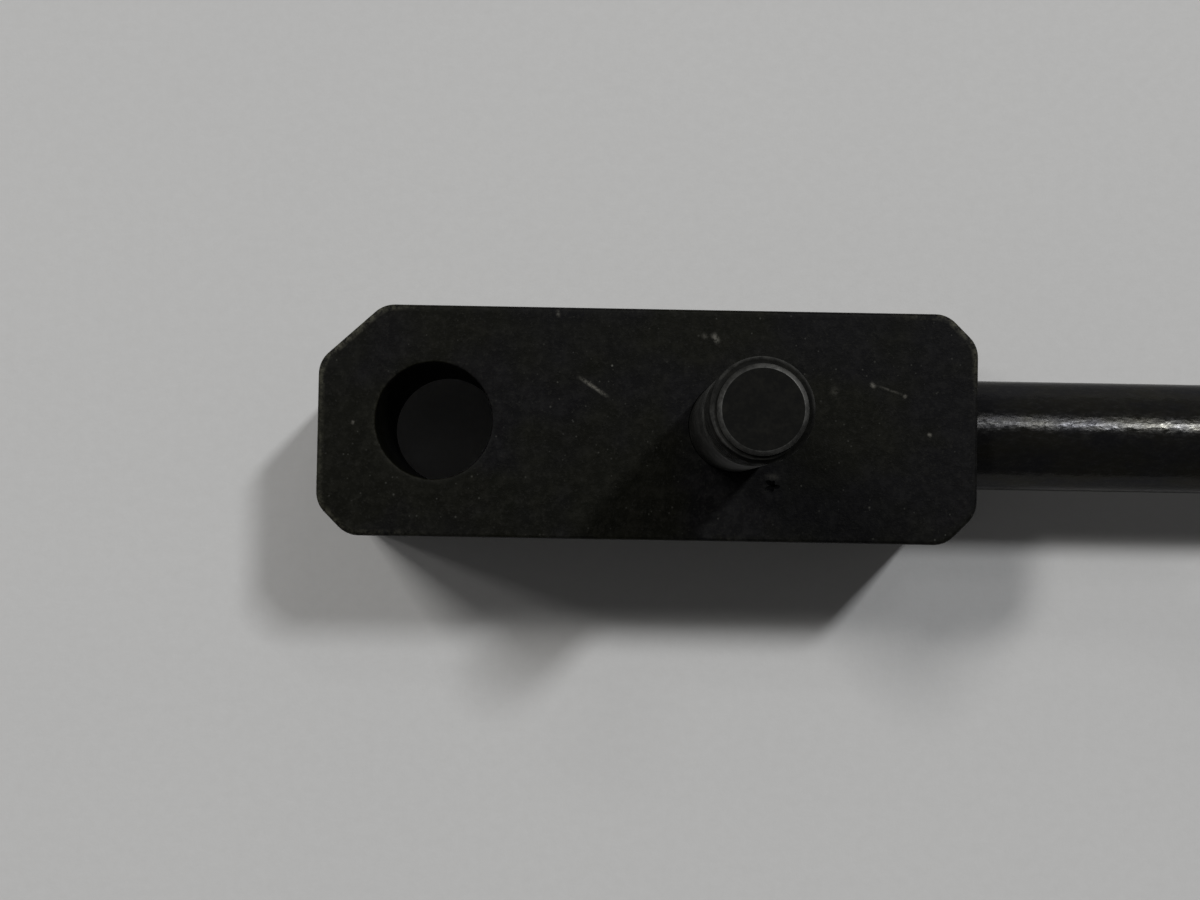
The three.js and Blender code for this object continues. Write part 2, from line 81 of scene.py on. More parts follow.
ROD_BLOCK_LOW, ROD_BLOCK_HIGH = node_box("rod_end_block")
TUBE_BLOCK_LOW, TUBE_BLOCK_HIGH = node_box("tube_end_block")
STUD_LOW, STUD_HIGH = node_box("link_stud")
STUD_X = (STUD_LOW.x + STUD_HIGH.x) / 2
STUD_RADIUS = (STUD_HIGH.x - STUD_LOW.x) / 2
AXIS_Z = (ROD_BLOCK_LOW.z + ROD_BLOCK_HIGH.z) / 2
BAR = ROD_BLOCK_HIGH.z - ROD_BLOCK_LOW.z
TUBE_START, TUBE_END, TUBE_RADIUS = along_and_radius("pressure_tube")


# ------------------------------------------------------------------ mesh helpers

def finish_mesh(name, body, slot, nodes, bm, wear, material):
    """Turns a bmesh into a piece that rides on a body and stands for its CAD nodes."""
    bmesh.ops.recalc_face_normals(bm, faces=bm.faces)
    mesh = bpy.data.meshes.new(name)
    for face in bm.faces:
        face.smooth = True
    bm.to_mesh(mesh)
    bm.free()
    attribute = mesh.attributes.new("wear", "FLOAT", "POINT")
    attribute.data.foreach_set("value", wear)
    mesh.set_sharp_from_angle(angle=SHARP_ANGLE)
    piece = bpy.data.objects.new(name, mesh)
    bpy.context.scene.collection.objects.link(piece)
    weighted = piece.modifiers.new("flat faces stay flat", "WEIGHTED_NORMAL")
    weighted.keep_sharp = True
    weighted.weight = 100
    mesh.materials.append(material)
    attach(piece, body)
    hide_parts(*nodes)
    return piece


def soften(points, radius, closed, steps=4):
    """Rounds the corners of a profile of (along, radius) pairs. Returns (along, radius, wear) rows, with
    wear 1 on the rounded corners."""
    rows = []
    count = len(points)
    for i, point in enumerate(points):
        here = Vector(point)
        if not closed and i in (0, count - 1):
            rows.append((here.x, here.y, 0.0))
            continue
        before = Vector(points[i - 1]) - here
        after = Vector(points[(i + 1) % count]) - here
        turn = math.pi - before.angle(after)
        if radius == 0 or turn < math.radians(12):
            rows.append((here.x, here.y, 0.0))
            continue
        reach = min(radius * math.tan(turn / 2), 0.45 * before.length, 0.45 * after.length)
        start = here + before.normalized() * reach
        end = here + after.normalized() * reach
        for step in range(steps + 1):
            t = step / steps
            spot = start.lerp(here, t).lerp(here.lerp(end, t), t)
            rows.append((spot.x, spot.y, 1.0 if 0 < step < steps else 0.6))
    return rows


def revolve(rows, axis, origin, closed, segments=SEGMENTS):
    """A solid of revolution. Each row is (along, radius, wear), and radius and wear may be functions of
    the angle. Returns the bmesh and each vertex's wear."""
    bm = bmesh.new()
    wear = []
    rings = []
    for along, radius, worn in rows:
        if radius == 0:
            rings.append([bm.verts.new(turned_point(axis, origin, along, 0, 0))])
            wear.append(worn)
            continue
        ring = []
        for i in range(segments):
            angle = 2 * math.pi * i / segments
            r = radius(angle) if callable(radius) else radius
            ring.append(bm.verts.new(turned_point(axis, origin, along, r, angle)))
            wear.append(worn(angle) if callable(worn) else worn)
        rings.append(ring)
    pairs = list(zip(rings, rings[1:]))
    if closed:
        pairs.append((rings[-1], rings[0]))
    for first, second in pairs:
        join_rings(bm, first, second, segments)
    return bm, wear


def turned_point(axis, origin, along, radius, angle):
    """A point in metres, at an angle about an axis through the origin."""
    across = radius * math.cos(angle)
    up = radius * math.sin(angle)
    if axis == "X":
        return (Vector((along, across, up)) + origin) * MM
    return (Vector((across, up, along)) + origin) * MM


def join_rings(bm, first, second, segments):
    """Skins two neighbouring rings, either of which may be a single point on the axis."""
    for i in range(segments):
        j = (i + 1) % segments
        if len(first) == 1 and len(second) == 1:
            return
        if len(first) == 1:
            bm.faces.new((first[0], second[j], second[i]))
        elif len(second) == 1:
            bm.faces.new((first[i], first[j], second[0]))
        else:
            bm.faces.new((first[i], first[j], second[j], second[i]))


def sleeve(start, end, bore, outer):
    """Profile of a plain ring."""
    return [(start, outer), (end, outer), (end, bore), (start, bore)]


# ------------------------------------------------------------------ threads

THREAD_PITCH = 1.25
THREAD_DEPTH = 0.70
THREAD_FLAT = 0.14  # share of half a pitch that is flat, at the crest and again at the root


def tooth(turns):
    """Depth of a flat-topped thread from crest 0 to root 1, over one turn counted from the crest."""
    phase = abs(turns - math.floor(turns) - 0.5) * 2
    return fade(phase, THREAD_FLAT, 1 - THREAD_FLAT)


def thread_rows(start, end, radius, envelope, crest_wear, per_pitch):
    """Rows of a thread between start and end. envelope(along) caps the radius, for chamfers and run-outs,
    and crest_wear(along) is how worn the crests are."""
    count = max(2, round((end - start) / THREAD_PITCH * per_pitch))
    rows = []
    for i in range(count + 1):
        along = start + (end - start) * i / count

        def depth(angle, along=along):
            return tooth((along - start) / THREAD_PITCH - angle / (2 * math.pi))

        def reach(angle, along=along, depth=depth):
            return min(radius - THREAD_DEPTH * depth(angle), envelope(along))

        def worn(angle, along=along, depth=depth):
            return crest_wear(along) * max(0.0, 1 - 3 * depth(angle))

        rows.append((along, reach, worn))
    return rows


# ------------------------------------------------------------------ node helpers

class Nodes:
    """Short names for building a material's node tree."""

    def __init__(self, name):
        self.material = bpy.data.materials.new(name)
        self.material.use_nodes = True
        self.tree = self.material.node_tree
        self.shader = self.tree.nodes["Principled BSDF"]
        self.place = self.add("ShaderNodeTexCoord").outputs["Object"]

    def add(self, kind, **settings):
        node = self.tree.nodes.new(kind)
        for key, value in settings.items():
            setattr(node, key, value)
        return node

    def link(self, source, target):
        self.tree.links.new(source, target)

    def set(self, **values):
        for key, value in values.items():
            self.shader.inputs[key.replace("_", " ")].default_value = value

    def feed(self, node, index, value):
        if isinstance(value, bpy.types.NodeSocket):
            self.link(value, node.inputs[index])
        else:
            node.inputs[index].default_value = value

    def math(self, operation, first, second=0.0):
        node = self.add("ShaderNodeMath", operation=operation)
        self.feed(node, 0, first)
        self.feed(node, 1, second)
        return node.outputs[0]

    def stretched(self, scale, turn=0.0):
        """Object coordinates scaled by a different amount along each axis."""
        node = self.add("ShaderNodeMapping")
        node.inputs["Scale"].default_value = scale
        node.inputs["Rotation"].default_value = (0, 0, turn)
        self.link(self.place, node.inputs["Vector"])
        return node.outputs["Vector"]

    def noise(self, scale, detail=3.0, roughness=0.55, vector=None):
        node = self.add("ShaderNodeTexNoise")
        node.inputs["Scale"].default_value = scale
        node.inputs["Detail"].default_value = detail
        node.inputs["Roughness"].default_value = roughness
        self.link(vector or self.place, node.inputs["Vector"])
        return node.outputs["Fac"]

    def band(self, value, low, high, out_low=0.0, out_high=1.0):
        """Maps value from low..high to out_low..out_high, clamped."""
        node = self.add("ShaderNodeMapRange")
        limits = {"From Min": low, "From Max": high, "To Min": out_low, "To Max": out_high}
        for key, number in limits.items():
            node.inputs[key].default_value = number
        self.link(value, node.inputs["Value"])
        return node.outputs["Result"]

    def mix(self, factor, first, second):
        node = self.add("ShaderNodeMix", data_type="RGBA")
        self.feed(node, 0, factor)
        self.feed(node, 6, first)
        self.feed(node, 7, second)
        return node.outputs[2]

    def specks(self, scale, size, share):
        """Small round dots: cells of size 1/scale, of which only a share holds a dot."""
        cells = self.add("ShaderNodeTexVoronoi")
        cells.inputs["Scale"].default_value = scale
        self.link(self.place, cells.inputs["Vector"])
        near = self.band(cells.outputs["Distance"], size, size * 0.4)
        chosen = self.math("LESS_THAN", self.split(cells.outputs["Color"]), share)
        return self.math("MULTIPLY", near, chosen)

    def split(self, colour):
        """The red part of a colour, used as a random number per cell."""
        node = self.add("ShaderNodeSeparateColor")
        self.link(colour, node.inputs[0])
        return node.outputs[0]

    def attribute(self, name):
        return self.add("ShaderNodeAttribute", attribute_name=name).outputs["Fac"]

    def bump(self, height, strength, distance, below=None):
        node = self.add("ShaderNodeBump")
        node.inputs["Strength"].default_value = strength
        node.inputs["Distance"].default_value = distance
        self.link(height, node.inputs["Height"])
        if below is not None:
            self.link(below, node.inputs["Normal"])
        return node.outputs["Normal"]

    def stroke(self, start, end, width):
        """1 on a short straight mark from start to end, in mm in the XY plane, fading to 0 at its sides."""
        start, end = Vector(start) * MM, Vector(end) * MM
        reach = end - start
        parts = self.add("ShaderNodeSeparateXYZ")
        self.link(self.place, parts.inputs[0])
        dx = self.math("SUBTRACT", parts.outputs[0], start.x)
        dy = self.math("SUBTRACT", parts.outputs[1], start.y)
        along = self.math(
            "ADD",
            self.math("MULTIPLY", dx, reach.x / reach.length_squared),
            self.math("MULTIPLY", dy, reach.y / reach.length_squared),
        )
        across = self.math(
            "SUBTRACT",
            self.math("MULTIPLY", dx, reach.y / reach.length),
            self.math("MULTIPLY", dy, reach.x / reach.length),
        )
        side = self.band(self.math("ABSOLUTE", across), width * MM, width * MM * 0.1)
        middle = self.math("ABSOLUTE", self.math("SUBTRACT", along, 0.5))
        return self.math("MULTIPLY", side, self.band(middle, 0.55, 0.15))


# ------------------------------------------------------------------ materials

# Dust on the black oxide: cells per metre, dot size in a cell, share of the cells with a dot, strength.
DUST = [
    (2600, 0.24, 0.08, 0.30),
    (1500, 0.18, 0.08, 0.30),
    (850, 0.10, 0.03, 0.70),
]


def black_oxide(name, marks=()):
    """Oiled black oxide on drawn bar: olive and violet-grey patches, faint draw lines, mottle, clustered
    dust and thin spots on the edges."""
    n = Nodes(name)
    patch = n.noise(85, detail=3, roughness=0.5)
    blotch = n.noise(330, detail=5, roughness=0.7)
    mottle = n.noise(950, detail=5, roughness=0.72)
    grain = n.noise(3600, detail=3, roughness=0.7)
    drawn = n.noise(1, detail=3, roughness=0.6, vector=n.stretched((170, 2100, 2100)))
    olive = n.band(patch, 0.44, 0.56)
    dark = n.mix(olive, (0.0025, 0.0024, 0.0029, 1), (0.0027, 0.0028, 0.0012, 1))
    pale = n.mix(olive, (0.0118, 0.0115, 0.0120, 1), (0.0120, 0.0118, 0.0084, 1))
    colour = n.mix(n.band(blotch, 0.45, 0.70, 0, 0.25), dark, pale)
    colour = n.mix(n.band(mottle, 0.47, 0.67, 0, 0.65), colour, pale)
    colour = n.mix(n.band(grain, 0.54, 0.70, 0, 0.50), colour, (0.018, 0.0175, 0.0150, 1))
    dusty = n.band(n.noise(130, detail=3), 0.42, 0.62, 0.25, 1.0)
    for scale, size, share, strength in DUST:
        dots = n.math("MULTIPLY", n.specks(scale, size, share), n.math("MULTIPLY", dusty, strength))
        colour = n.mix(dots, colour, (0.13, 0.13, 0.115, 1))
    thin = n.band(n.noise(1700, detail=4, roughness=0.8), 0.42, 0.64)
    worn = n.math("MULTIPLY", n.attribute("wear"), thin)
    colour = n.mix(n.math("MULTIPLY", worn, 0.9), colour, (0.090, 0.087, 0.064, 1))
    chips = n.band(n.noise(5200, detail=3, roughness=0.7), 0.34, 0.54)
    for start, end, width, strength in marks:
        mark = n.math("MULTIPLY", n.stroke(start, end, width), chips)
        colour = n.mix(n.math("MULTIPLY", mark, strength), colour, (0.12, 0.115, 0.10, 1))
    n.link(colour, n.shader.inputs["Base Color"])
    n.link(n.band(mottle, 0.3, 0.7, 0.42, 0.56), n.shader.inputs["Roughness"])
    n.set(Specular_IOR_Level=0.075)
    coarse = n.bump(mottle, 0.5, 0.00004)
    fine = n.bump(grain, 0.6, 0.00003, below=coarse)
    n.link(n.bump(drawn, 0.12, 0.00002, below=fine), n.shader.inputs["Normal"])
    return n.material


def stud_steel():
    """The stud's black oxide, rubbed grey where a link turns on it, and bright on its tip's edge, which is
    partly wear and partly a painted highlight.
    """
    n = Nodes("black_oxide_stud")
    mottle = n.noise(1400, detail=5, roughness=0.7)
    rings = n.noise(1, detail=2, vector=n.stretched((200, 200, 5200)))
    patches = n.band(n.noise(240, detail=3), 0.44, 0.58, 0.4, 1.0)
    uneven = n.math("MULTIPLY", n.band(mottle, 0.36, 0.58, 0.35, 1.0), patches)
    # The wear attribute holds a painted highlight on the tip's edge as well as wear, so this bright mix is
    # partly painted highlight.
    bare_and_highlight = n.math("MULTIPLY", n.attribute("wear"), uneven)
    dark = n.mix(n.band(mottle, 0.45, 0.68), (0.0030, 0.0030, 0.0026, 1), (0.0085, 0.0083, 0.0068, 1))
    n.link(n.mix(bare_and_highlight, dark, (0.170, 0.169, 0.162, 1)), n.shader.inputs["Base Color"])
    n.link(n.math("MULTIPLY", bare_and_highlight, 0.9), n.shader.inputs["Metallic"])
    n.link(n.band(mottle, 0.3, 0.7, 0.52, 0.62), n.shader.inputs["Roughness"])
    n.set(Specular_IOR_Level=0.08)
    n.link(n.bump(rings, 0.2, 0.00002, below=n.bump(mottle, 0.4, 0.00003)), n.shader.inputs["Normal"])
    return n.material


def nitrided():
    """The rod's polished nitrided skin: dark steel with a faint blue and brown stain and a patchy gloss."""
    n = Nodes("nitrided_rod")
    stain = n.noise(170, detail=4, roughness=0.6, vector=n.stretched((1, 2.2, 2.2)))
    patches = n.noise(1500, detail=5, roughness=0.75, vector=n.stretched((0.8, 1.6, 1.6)))
    ripple = n.noise(1300, detail=2, roughness=0.5, vector=n.stretched((0.8, 1.6, 1.6)))
    hairline = n.noise(1, detail=3, vector=n.stretched((9000, 500, 500)))
    colour = n.mix(n.band(stain, 0.38, 0.62), (0.022, 0.022, 0.024, 1), (0.027, 0.026, 0.022, 1))
    colour = n.mix(n.band(patches, 0.45, 0.70, 0, 0.5), colour, (0.043, 0.042, 0.041, 1))
    n.link(colour, n.shader.inputs["Base Color"])
    n.link(n.band(patches, 0.35, 0.65, 0.12, 0.30), n.shader.inputs["Roughness"])
    n.set(Metallic=0.70, Specular_Tint=(0.50, 0.50, 0.50, 1.0), Specular_IOR_Level=0.10)
    n.set(Anisotropic=0.30, Anisotropic_Rotation=0.25)
    tangent = n.add("ShaderNodeTangent", direction_type="RADIAL", axis="X")
    n.link(tangent.outputs[0], n.shader.inputs["Tangent"])
    n.link(n.bump(hairline, 0.08, 0.00001, below=n.bump(ripple, 0.5, 0.00005)), n.shader.inputs["Normal"])
    return n.material


def tube_paint():
    """Black stoved paint: orange peel, scuffs along it, a little dust, thin spots on the rims."""
    n = Nodes("tube_paint")
    peel = n.noise(700, detail=2, roughness=0.45)
    haze = n.noise(60, detail=4, roughness=0.6)
    scuff = n.noise(1, detail=6, roughness=0.75, vector=n.stretched((60, 1500, 1500), turn=0.05))
    rub = n.noise(1, detail=4, roughness=0.7, vector=n.stretched((500, 700, 700)))
    worn = n.math("MULTIPLY", n.attribute("wear"), n.band(n.noise(700, detail=4), 0.55, 0.7))
    colour = n.mix(n.band(haze, 0.35, 0.65), (0.0070, 0.0070, 0.0075, 1), (0.0100, 0.0100, 0.0103, 1))
    colour = n.mix(n.band(rub, 0.62, 0.85, 0, 0.14), colour, (0.028, 0.028, 0.028, 1))
    colour = n.mix(n.band(scuff, 0.64, 0.74, 0, 0.45), colour, (0.040, 0.040, 0.039, 1))
    colour = n.mix(n.math("MULTIPLY", n.specks(900, 0.14, 0.03), 0.5), colour, (0.12, 0.12, 0.12, 1))
    colour = n.mix(n.math("MULTIPLY", worn, 0.6), colour, (0.16, 0.155, 0.15, 1))
    n.link(colour, n.shader.inputs["Base Color"])
    n.link(n.band(scuff, 0.4, 0.75, 0.26, 0.46), n.shader.inputs["Roughness"])
    n.set(Specular_IOR_Level=0.5)
    n.link(n.bump(peel, 0.16, 0.00006), n.shader.inputs["Normal"])
    return n.material


def turned_steel(name, base, roughness):
    """Turned or plated metal: fine tool rings across its axis and a little tarnish."""
    n = Nodes(name)
    rings = n.noise(1, detail=3, vector=n.stretched((7000, 300, 300)))
    tarnish = n.noise(330, detail=5, roughness=0.65)
    dark = tuple(0.55 * c for c in base) + (1,)
    colour = n.mix(n.band(tarnish, 0.4, 0.72, 0, 0.8), tuple(base) + (1,), dark)
    n.link(colour, n.shader.inputs["Base Color"])
    n.link(n.band(tarnish, 0.3, 0.7, roughness, roughness + 0.18), n.shader.inputs["Roughness"])
    n.set(Metallic=1.0)
    n.link(n.bump(rings, 0.15, 0.00002), n.shader.inputs["Normal"])
    return n.material


def moulded(name, base, roughness):
    """Moulded rubber or plastic: even colour with a fine matt skin and a trace of dust."""
    n = Nodes(name)
    skin = n.noise(3200, detail=3, roughness=0.6)
    dust = n.noise(420, detail=5, roughness=0.7)
    pale = tuple(min(1.0, 2.2 * c + 0.01) for c in base) + (1,)
    n.link(n.mix(n.band(dust, 0.5, 0.8, 0, 0.5), tuple(base) + (1,), pale), n.shader.inputs["Base Color"])
    n.link(n.band(dust, 0.3, 0.7, roughness - 0.08, roughness + 0.08), n.shader.inputs["Roughness"])
    n.link(n.bump(skin, 0.3, 0.00003), n.shader.inputs["Normal"])
    return n.material


EYE_FROM_END = 10  # from a block's end to the middle of its eye
EYE_X = ROD_BLOCK_LOW.x + EYE_FROM_END

# Marks on the rod-end block's face in mm, X counted from its eye: start, end, width, strength.
BLOCK_MARKS = [
    ((EYE_X - 7.1, -0.2), (EYE_X - 6.8, -0.35), 0.22, 0.90),
    ((EYE_X + 10.5, 9.8), (EYE_X + 10.6, 9.1), 0.22, 0.50),
    ((EYE_X + 12.4, 4.0), (EYE_X + 15.0, 2.3), 0.22, 1.0),
    ((EYE_X + 23.9, 8.0), (EYE_X + 24.5, 7.1), 0.34, 0.95),
    ((EYE_X + 23.0, 7.9), (EYE_X + 23.5, 7.5), 0.30, 0.35),
    ((EYE_X + 34.2, 3.3), (EYE_X + 34.9, 3.0), 0.50, 0.25),
    ((EYE_X + 37.6, 3.9), (EYE_X + 38.1, 3.5), 0.26, 1.0),
    ((EYE_X + 38.2, 3.7), (EYE_X + 40.5, 2.9), 0.14, 0.40),
    ((EYE_X + 40.5, 2.9), (EYE_X + 40.8, 2.7), 0.24, 0.90),
    ((EYE_X + 42.6, -0.4), (EYE_X + 43.0, -0.6), 0.24, 0.95),
    ((EYE_X + 28.6, -4.3), (EYE_X + 30.0, -4.4), 0.40, 0.30),
]

OXIDE_MARKED = black_oxide("black_oxide_marked", BLOCK_MARKS)
OXIDE = black_oxide("black_oxide")
OXIDE_STUD = stud_steel()
NITRIDED = nitrided()
PAINT = tube_paint()
ZINC = turned_steel("zinc_steel", (0.50, 0.52, 0.54), 0.28)
STEEL = turned_steel("plain_steel", (0.42, 0.43, 0.44), 0.24)
ALUMINIUM = turned_steel("guide_metal", (0.60, 0.61, 0.62), 0.30)
BRONZE = turned_steel("bush_bronze", (0.42, 0.26, 0.11), 0.30)
RUBBER = moulded("seal_rubber", (0.013, 0.013, 0.013), 0.62)
PLASTIC = moulded("ring_plastic", (0.60, 0.57, 0.50), 0.50)


# ------------------------------------------------------------------ end blocks

EYE_DIAMETER = 10.1
SLANT_LONG, SLANT_WIDE = 5.5, 5.0
CORNER_CUT = 2.7
CORNER_SOFTENING = 2.6  # radius where a cut corner meets a side
EDGE_ROUND = 0.3
EYE_ROUND = 0.15
FLAT_RING = 0.35  # flat strip inside each rounded edge, where the wear fades out
SPIGOT_RADIUS = 4.0  # rod's and end plug's threaded ends, screwed into the blocks
SPIGOT_HOLE_RADIUS = 4.05
SPIGOT_HOLE_DEPTH = 14.6
SPIGOT_HOLE_MOUTH = 0.5
STUD_FIT = 0.02  # gap round the stud in its hole
PUNCH_MARK = Vector((3.2, -5.15))  # from the stud's axis
PUNCH_MARK_DEPTH = 0.6
PUNCH_MARK_RADIUS = 0.5


def arc_points(centre, radius, start, end, steps):
    """Points on an arc about a centre, from one angle to another."""
    return [
        Vector((centre[0] + radius * math.cos(a), centre[1] + radius * math.sin(a)))
        for a in (start + (end - start) * i / steps for i in range(steps + 1))
    ]


def block_corners(length):
    """The block's corners seen from above, eye end at x = 0, counter-clockwise."""
    half = BAR / 2
    cut_end = length - CORNER_CUT
    return [
        Vector((0, half - SLANT_WIDE)),
        Vector((0, CORNER_CUT - half)),
        Vector((CORNER_CUT, -half)),
        Vector((cut_end, -half)),
        Vector((length, CORNER_CUT - half)),
        Vector((length, half - CORNER_CUT)),
        Vector((cut_end, half)),
        Vector((SLANT_LONG, half)),
    ]


def block_outline(length, steps=8):
    """The same outline with every corner rounded over."""
    corners = block_corners(length)
    outline = []
    for i, corner in enumerate(corners):
        before = (corners[i - 1] - corner).normalized()
        after = (corners[(i + 1) % len(corners)] - corner).normalized()
        reach = CORNER_SOFTENING * math.tan((math.pi - before.angle(after)) / 2)
        start = corner + before * reach
        end = corner + after * reach
        for step in range(steps + 1):
            t = step / steps
            outline.append(start.lerp(corner, t).lerp(corner.lerp(end, t), t))
    return divided(outline)


def divided(loop, longest=2.0):
    """The loop with points added along its straight stretches, so that wear can fade along them."""
    points = []
    for here, after in zip(loop, loop[1:] + loop[:1]):
        count = math.ceil((after - here).length / longest)
        points += [here.lerp(after, i / count) for i in range(count)]
    return points


def inset(loop, distance):
    """The loop moved inwards by a distance, corner by corner."""
    moved = []
    for i, here in enumerate(loop):
        before = (here - loop[i - 1]).normalized()
        after = (loop[(i + 1) % len(loop)] - here).normalized()
        normal_before = Vector((-before.y, before.x))
        normal_after = Vector((-after.y, after.x))
        bisector = (normal_before + normal_after).normalized()
        moved.append(here + bisector * (distance / bisector.dot(normal_before)))
    return moved


def edge_levels(rounding):
    """(height, inset, wear) from the lower face up over both rounded edges to the upper face."""
    quarter = [
        (rounding * (1 - math.sin(a)), rounding * (1 - math.cos(a)))
        for a in (math.pi / 2 * i / 4 for i in range(4, -1, -1))
    ]
    lower = [(0.0, rounding + FLAT_RING, 0.0)] + [(h, d, 1.0) for h, d in quarter]
    lower += [(rounding + FLAT_RING, 0.0, 0.0)]
    return lower + [(BAR - h, d, w) for h, d, w in reversed(lower)]


def wall(bm, loops):
    """Skins neighbouring loops of vertices."""
    for first, second in zip(loops, loops[1:]):
        for i in range(len(first)):
            j = (i + 1) % len(first)
            bm.faces.new((first[i], first[j], second[j], second[i]))


def fill_between(bm, *loops):
    """Fills the flat face bounded by these loops of vertices."""
    edges = []
    for loop in loops:
        for i, vertex in enumerate(loop):
            other = loop[(i + 1) % len(loop)]
            edges.append(bm.edges.get((vertex, other)) or bm.edges.new((vertex, other)))
    bmesh.ops.triangle_fill(bm, use_beauty=True, edges=edges)


def bar_block(length):
    """The block with its eye, in its own frame: eye end at x = 0, lower face at z = 0. Returns the bmesh and
    each vertex's wear."""
    bm = bmesh.new()
    wear = []
    outline = block_outline(length)

    def rubbed(point):
        """Wear of an edge: most on the slant, then at one corner far from the eye, then at the eye's end."""
        from_slant = (point - Vector((SLANT_LONG / 2, (BAR - SLANT_WIDE) / 2))).length
        from_corner = (point - Vector((length - 1, BAR / 2 - 1))).length
        slant = 0.9 * fade(from_slant, 4.0, 5.5)
        corner = 0.8 * fade(from_corner, 3.0, 6.0)
        eye_end = 0.04 + 0.36 * fade(point.x, 4.0, 10.0)
        return max(slant, corner, eye_end)

    def level(points, height, worn):
        wear.extend([worn * rubbed(p) for p in points])
        return [bm.verts.new((p.x * MM, p.y * MM, height * MM)) for p in points]

    outer = [level(inset(outline, d), h, w) for h, d, w in edge_levels(EDGE_ROUND)]
    bore = [
        level(arc_points((EYE_FROM_END, 0), EYE_DIAMETER / 2 + d, 0, 2 * math.pi, SEGMENTS)[:-1], h, 0.5 * w)
        for h, d, w in edge_levels(EYE_ROUND)
    ]
    wall(bm, outer)
    wall(bm, bore)
    fill_between(bm, outer[0], bore[0])
    fill_between(bm, outer[-1], bore[-1])
    return bm, wear


def cutter(name, rows, axis, origin, segments=64):
    """A solid that cut() takes out of a block and then deletes."""
    bm, _ = revolve(rows, axis, origin, closed=False, segments=segments)
    bmesh.ops.recalc_face_normals(bm, faces=bm.faces)
    mesh = bpy.data.meshes.new(name)
    bm.to_mesh(mesh)
    bm.free()
    tool = bpy.data.objects.new(name, mesh)
    bpy.context.scene.collection.objects.link(tool)
    return tool


def cut(piece, tools):
    """Cuts each tool out of the piece for good."""
    for tool in tools:
        modifier = piece.modifiers.new("cut", "BOOLEAN")
        modifier.operation = "DIFFERENCE"
        modifier.solver = "EXACT"
        modifier.object = tool
        bpy.context.view_layer.objects.active = piece
        while piece.modifiers[0] != modifier:
            bpy.ops.object.modifier_move_up(modifier=modifier.name)
        bpy.ops.object.modifier_apply(modifier=modifier.name)
        bpy.data.objects.remove(tool)
    piece.data.set_sharp_from_angle(angle=SHARP_ANGLE)


def hole_rows(bottom, top, radius, mouth):
    """A blind hole's cutter from bottom to past the mouth, with a countersink of depth and width mouth."""
    return [
        (bottom, 0, 0),
        (bottom, radius, 0),
        (top - mouth, radius, 0),
        (top + 0.5, radius + mouth + 0.5, 0),
        (top + 0.5, 0, 0),
    ]


def spigot_hole_rows():
    """Cutter rows of the blind hole for the rod or the end plug, its mouth at 0."""
    return hole_rows(-SPIGOT_HOLE_DEPTH, 0, SPIGOT_HOLE_RADIUS, SPIGOT_HOLE_MOUTH)


def star_rows(depth, radius):
    """A punch mark: a shallow pit with an uneven, pointed rim."""

    def rim(angle):
        five, three, seven = math.cos(5 * angle + 0.6), math.cos(3 * angle), math.cos(7 * angle)
        return radius * (1 + 0.28 * five + 0.20 * three + 0.1 * seven)

    return [(-depth, 0, 0), (0.0, rim, 0), (0.3, rim, 0), (0.3, 0, 0)]


def make_rod_end_block():
    """The block of the photo, with holes for its stud and the rod, and its punch mark."""
    length = ROD_BLOCK_HIGH.x - ROD_BLOCK_LOW.x
    bm, wear = bar_block(length)
    bmesh.ops.translate(bm, verts=bm.verts, vec=Vector((ROD_BLOCK_LOW.x, 0, ROD_BLOCK_LOW.z)) * MM)
    piece = finish_mesh("rod_end_block_fine", "rod", "black_oxide", ["rod_end_block"], bm, wear, OXIDE_MARKED)
    top = ROD_BLOCK_HIGH.z
    stud_hole = hole_rows(STUD_LOW.z - 0.5, top, STUD_RADIUS + STUD_FIT, 0.05)
    punch_mark = star_rows(PUNCH_MARK_DEPTH, PUNCH_MARK_RADIUS)
    punched = Vector((STUD_X + PUNCH_MARK.x, PUNCH_MARK.y, top))
    cut(piece, [
        cutter("stud_hole", stud_hole, "Z", Vector((STUD_X, 0, 0))),
        cutter("rod_hole", spigot_hole_rows(), "X", Vector((ROD_BLOCK_HIGH.x, 0, AXIS_Z))),
        cutter("punch_mark", punch_mark, "Z", punched, segments=40),
    ])


def make_tube_end_block():
    """The same bar turned end for end, with a hole for the end plug's stud."""
    length = TUBE_BLOCK_HIGH.x - TUBE_BLOCK_LOW.x
    bm, wear = bar_block(length)
    bmesh.ops.rotate(bm, verts=bm.verts, matrix=Matrix.Rotation(math.pi, 3, "Z"))
    bmesh.ops.translate(bm, verts=bm.verts, vec=Vector((TUBE_BLOCK_HIGH.x, 0, TUBE_BLOCK_LOW.z)) * MM)
    piece = finish_mesh("tube_end_block_fine", "cylinder", "black_oxide", ["tube_end_block"], bm, wear, OXIDE)
    mirrored = [(-a, r, w) for a, r, w in reversed(spigot_hole_rows())]
    cut(piece, [cutter("plug_hole", mirrored, "X", Vector((TUBE_BLOCK_LOW.x, 0, AXIS_Z)))])


# ------------------------------------------------------------------ stud

RELIEF_RADIUS = 3.3
RELIEF_LENGTH = 1.4
PILOT_RADIUS = 3.4
PILOT_LENGTH = 0.7
PILOT_CHAMFER = 0.3
STUD_THREAD_LENGTH = 5.7


